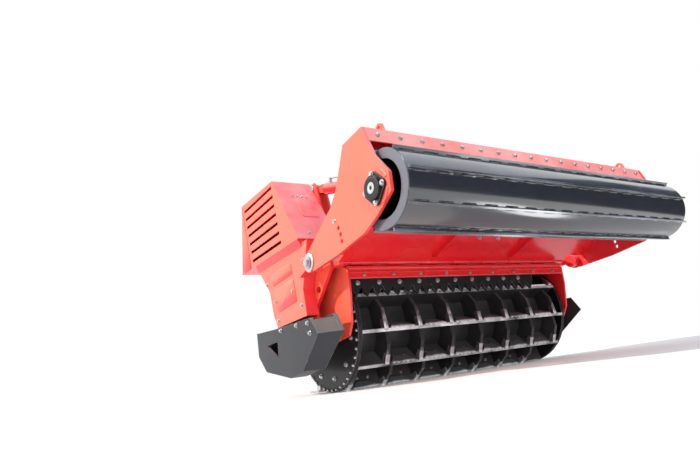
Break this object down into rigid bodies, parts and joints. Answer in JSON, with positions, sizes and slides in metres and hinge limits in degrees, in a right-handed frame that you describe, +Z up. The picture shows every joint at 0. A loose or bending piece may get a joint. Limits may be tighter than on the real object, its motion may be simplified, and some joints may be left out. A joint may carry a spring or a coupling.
{
  "type": "rotary tiller",
  "caption": "Heavy rotary tiller for a three-point hitch: toothed rotor under a red housing with louvred side covers, grey skids and a rear hood whose arms carry a ribbed roller.",
  "frame": {"origin": "middle of the bounding box at floor level, the machine parked level with its hood raised", "axes": "+X across the machine to its right seen from behind, along the rotor; +Y forward towards the tractor; +Z up"},
  "size_m": [2.76, 2.3953, 1.6068],
  "materials": {
    "paint_red": "gloss",
    "gearbox_red": "gloss",
    "skid_grey": "satin",
    "roller_black": "gloss",
    "rotor_steel": "satin",
    "comb_steel": "satin",
    "bearing_iron": "satin",
    "shaft_steel": "satin",
    "rod_chrome": "polished",
    "stand_zinc": "satin"
  },
  "bodies": {
    "housing": {"side_plate_left": "paint_red", "gear_casing_left": "paint_red", "side_cover_left": "paint_red", "drive_tube_left": "paint_red", "hitch_clevis_left": "paint_red", "stand_bracket_left": "paint_red", "cylinder_post_left": "paint_red", "skid_left": "skid_grey", "drive_clutch_left": "bearing_iron", "side_plate_right": "paint_red", "gear_casing_right": "paint_red", "side_cover_right": "paint_red", "drive_tube_right": "paint_red", "hitch_clevis_right": "paint_red", "stand_bracket_right": "paint_red", "cylinder_post_right": "paint_red", "skid_right": "skid_grey", "drive_clutch_right": "bearing_iron", "rotor_housing": "paint_red", "rear_beam": "paint_red", "front_beam": "paint_red", "mast": "paint_red", "counter_comb": "comb_steel", "gearbox": "gearbox_red", "input_shaft": "shaft_steel"},
    "rotor": {"rotor_drum": "rotor_steel", "rotor_disc_left": "rotor_steel", "rotor_disc_right": "rotor_steel"},
    "hood": {"hood_panel": "paint_red", "crossbeam": "paint_red", "hood_arm_left": "paint_red", "hood_arm_right": "paint_red", "bearing_left": "bearing_iron", "bearing_right": "bearing_iron", "hood_lug_left": "paint_red", "hood_lug_right": "paint_red"},
    "roller": {"roller_shell": "roller_black", "roller_cap_left": "roller_black", "roller_cap_right": "roller_black"},
    "barrel_left": {"cylinder_barrel_left": "paint_red"},
    "barrel_right": {"cylinder_barrel_right": "paint_red"},
    "rod_left": {"cylinder_rod_left": "rod_chrome"},
    "rod_right": {"cylinder_rod_right": "rod_chrome"},
    "stand_left": {"stand_left": "stand_zinc"},
    "stand_right": {"stand_right": "stand_zinc"}
  },
  "joints": [
    {"name": "rotor_spin", "type": "hinge", "parent": "housing", "child": "rotor", "pos_m": [0, 0.2985, 0.43177], "axis": [1, 0, 0], "continuous": true},
    {"name": "hood_hinge", "type": "hinge", "parent": "housing", "child": "hood", "pos_m": [0, -0.1515, 0.81177], "axis": [1, 0, 0], "range_deg": [0, 55]},
    {"name": "roller_spin", "type": "hinge", "parent": "hood", "child": "roller", "pos_m": [0, -0.9625, 0.99577], "axis": [1, 0, 0], "continuous": true},
    {"name": "barrel_pivot_left", "type": "hinge", "parent": "housing", "child": "barrel_left", "pos_m": [-0.928, 0.3585, 1.52677], "axis": [1, 0, 0], "range_deg": [0, 20.22]},
    {"name": "rod_slide_left", "type": "slide", "parent": "barrel_left", "child": "rod_left", "axis": [0, -0.9531, -0.3028], "range_m": [0, 0.3871]},
    {"name": "stand_hinge_left", "type": "hinge", "parent": "housing", "child": "stand_left", "pos_m": [-0.78, 0.9635, 0.56177], "axis": [1, 0, 0], "range_deg": [0, 95]},
    {"name": "barrel_pivot_right", "type": "hinge", "parent": "housing", "child": "barrel_right", "pos_m": [0.928, 0.3585, 1.52677], "axis": [1, 0, 0], "range_deg": [0, 20.22]},
    {"name": "rod_slide_right", "type": "slide", "parent": "barrel_right", "child": "rod_right", "axis": [0, -0.9531, -0.3028], "range_m": [0, 0.3871]},
    {"name": "stand_hinge_right", "type": "hinge", "parent": "housing", "child": "stand_right", "pos_m": [0.78, 0.9635, 0.56177], "axis": [1, 0, 0], "range_deg": [0, 95]}
  ],
  "couplings": [
    {"joint": "barrel_pivot_left", "follows": "hood_hinge", "ratio": 0.36216},
    {"joint": "rod_slide_left", "follows": "hood_hinge", "m_per_rad": 0.40112},
    {"joint": "barrel_pivot_right", "follows": "hood_hinge", "ratio": 0.36216},
    {"joint": "rod_slide_right", "follows": "hood_hinge", "m_per_rad": 0.40112}
  ]
}
